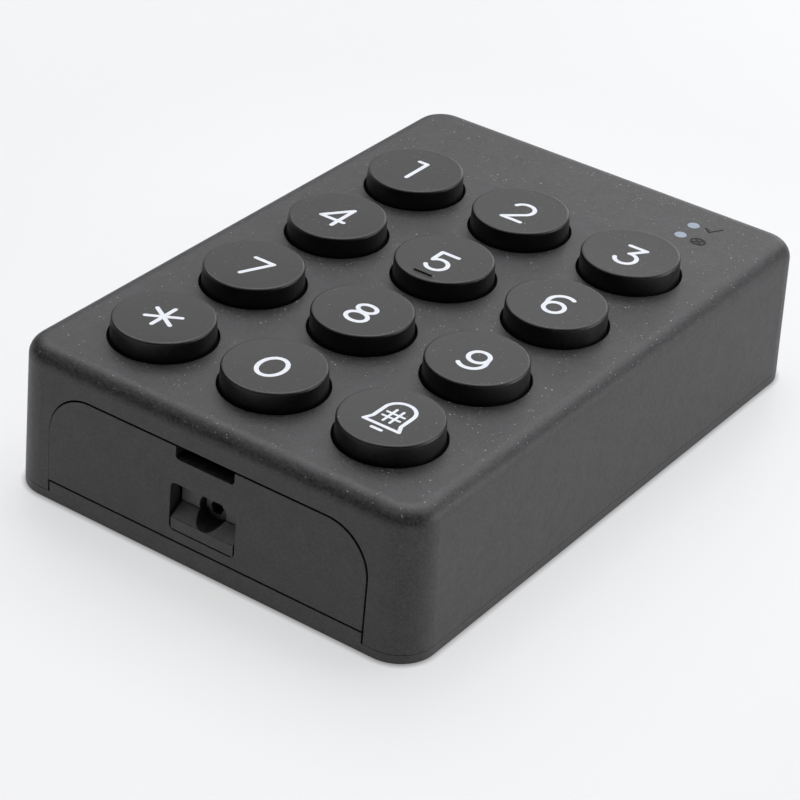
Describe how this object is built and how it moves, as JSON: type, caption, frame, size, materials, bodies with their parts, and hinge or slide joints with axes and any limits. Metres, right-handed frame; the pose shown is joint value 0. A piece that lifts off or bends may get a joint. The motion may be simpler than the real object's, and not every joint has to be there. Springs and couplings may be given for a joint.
{
  "type": "alarm keypad panel",
  "caption": "Compact wall-mounted alarm keypad: a shallow soft-edged case with round sprung keys, status lights, a release slot and a screw-locked, clip-fitted wall plate.",
  "frame": {"origin": "centre of the wall plate's back face", "axes": "+Z out of the front face towards the user, +X to the right along a row of keys, +Y up the key columns towards the status lights"},
  "size_m": [0.061, 0.0896, 0.0231],
  "materials": {
    "housing_charcoal": "fine spark-eroded texture, satin",
    "case_charcoal": "fine spark-eroded texture",
    "plate_charcoal": "fine spark-eroded texture",
    "key_black": "very fine satin",
    "legend_white": "smooth translucent",
    "silicone_grey": "matt",
    "board_green": "solder resist",
    "led_white": "moulded",
    "light_pipe": "clear frosted",
    "mark_black": "pad printed",
    "zinc_steel": "zinc plated",
    "sounder_black": "moulded",
    "shield_can": "tin plated",
    "chip_black": "moulded epoxy",
    "plunger_white": "acetal",
    "spring_steel": "drawn wire",
    "cell_jacket": "printed sleeve, plain",
    "contact_nickel": "nickel plated",
    "lock_steel": "black oxide"
  },
  "bodies": {
    "root": {"front_housing": "housing_charcoal", "rear_case": "case_charcoal", "wall_plate": "plate_charcoal", "silicone_mat": "silicone_grey", "circuit_board": "board_green", "backlight_leds": "led_white", "status_leds": "led_white", "status_light_pipes": "light_pipe", "status_icons": "mark_black", "board_screws": "zinc_steel", "case_screws": "zinc_steel", "sounder": "sounder_black", "radio_module": "shield_can", "processor_chip": "chip_black", "tamper_switch": "sounder_black", "tamper_spring": "spring_steel", "battery_cells": "cell_jacket", "battery_contacts": "contact_nickel"},
    "key_star": {"keycap_star": "key_black", "legend_star": "legend_white"},
    "key_0": {"keycap_0": "key_black", "legend_0": "legend_white"},
    "key_bell": {"keycap_bell": "key_black", "legend_bell": "legend_white"},
    "key_7": {"keycap_7": "key_black", "legend_7": "legend_white"},
    "key_8": {"keycap_8": "key_black", "legend_8": "legend_white"},
    "key_9": {"keycap_9": "key_black", "legend_9": "legend_white"},
    "key_4": {"keycap_4": "key_black", "legend_4": "legend_white"},
    "key_5": {"keycap_5": "key_black", "legend_5": "legend_white"},
    "key_6": {"keycap_6": "key_black", "legend_6": "legend_white"},
    "key_1": {"keycap_1": "key_black", "legend_1": "legend_white"},
    "key_2": {"keycap_2": "key_black", "legend_2": "legend_white"},
    "key_3": {"keycap_3": "key_black", "legend_3": "legend_white"},
    "lock_screw": {"security_screw": "lock_steel"},
    "tamper_pin": {"tamper_plunger": "plunger_white"}
  },
  "joints": [
    {"name": "key_star_press", "type": "slide", "parent": "root", "child": "key_star", "axis": [0, 0, -1], "range_m": [0, 0.0009], "stiffness_N_per_m": 1200, "springref_m": -0.0004, "deforming": ["silicone_mat"]},
    {"name": "key_0_press", "type": "slide", "parent": "root", "child": "key_0", "axis": [0, 0, -1], "range_m": [0, 0.0009], "stiffness_N_per_m": 1200, "springref_m": -0.0004, "deforming": ["silicone_mat"]},
    {"name": "key_bell_press", "type": "slide", "parent": "root", "child": "key_bell", "axis": [0, 0, -1], "range_m": [0, 0.0009], "stiffness_N_per_m": 1200, "springref_m": -0.0004, "deforming": ["silicone_mat"]},
    {"name": "key_7_press", "type": "slide", "parent": "root", "child": "key_7", "axis": [0, 0, -1], "range_m": [0, 0.0009], "stiffness_N_per_m": 1200, "springref_m": -0.0004, "deforming": ["silicone_mat"]},
    {"name": "key_8_press", "type": "slide", "parent": "root", "child": "key_8", "axis": [0, 0, -1], "range_m": [0, 0.0009], "stiffness_N_per_m": 1200, "springref_m": -0.0004, "deforming": ["silicone_mat"]},
    {"name": "key_9_press", "type": "slide", "parent": "root", "child": "key_9", "axis": [0, 0, -1], "range_m": [0, 0.0009], "stiffness_N_per_m": 1200, "springref_m": -0.0004, "deforming": ["silicone_mat"]},
    {"name": "key_4_press", "type": "slide", "parent": "root", "child": "key_4", "axis": [0, 0, -1], "range_m": [0, 0.0009], "stiffness_N_per_m": 1200, "springref_m": -0.0004, "deforming": ["silicone_mat"]},
    {"name": "key_5_press", "type": "slide", "parent": "root", "child": "key_5", "axis": [0, 0, -1], "range_m": [0, 0.0009], "stiffness_N_per_m": 1200, "springref_m": -0.0004, "deforming": ["silicone_mat"]},
    {"name": "key_6_press", "type": "slide", "parent": "root", "child": "key_6", "axis": [0, 0, -1], "range_m": [0, 0.0009], "stiffness_N_per_m": 1200, "springref_m": -0.0004, "deforming": ["silicone_mat"]},
    {"name": "key_1_press", "type": "slide", "parent": "root", "child": "key_1", "axis": [0, 0, -1], "range_m": [0, 0.0009], "stiffness_N_per_m": 1200, "springref_m": -0.0004, "deforming": ["silicone_mat"]},
    {"name": "key_2_press", "type": "slide", "parent": "root", "child": "key_2", "axis": [0, 0, -1], "range_m": [0, 0.0009], "stiffness_N_per_m": 1200, "springref_m": -0.0004, "deforming": ["silicone_mat"]},
    {"name": "key_3_press", "type": "slide", "parent": "root", "child": "key_3", "axis": [0, 0, -1], "range_m": [0, 0.0009], "stiffness_N_per_m": 1200, "springref_m": -0.0004, "deforming": ["silicone_mat"]},
    {"name": "lock_screw_withdraw", "type": "slide", "parent": "root", "child": "lock_screw", "axis": [0, -1, 0], "range_m": [0, 0.006]},
    {"name": "tamper_pin_travel", "type": "slide", "parent": "root", "child": "tamper_pin", "axis": [0, 0, 1], "range_m": [0, 0.0006], "stiffness_N_per_m": 250, "springref_m": -0.0015, "deforming": ["tamper_spring"]}
  ]
}
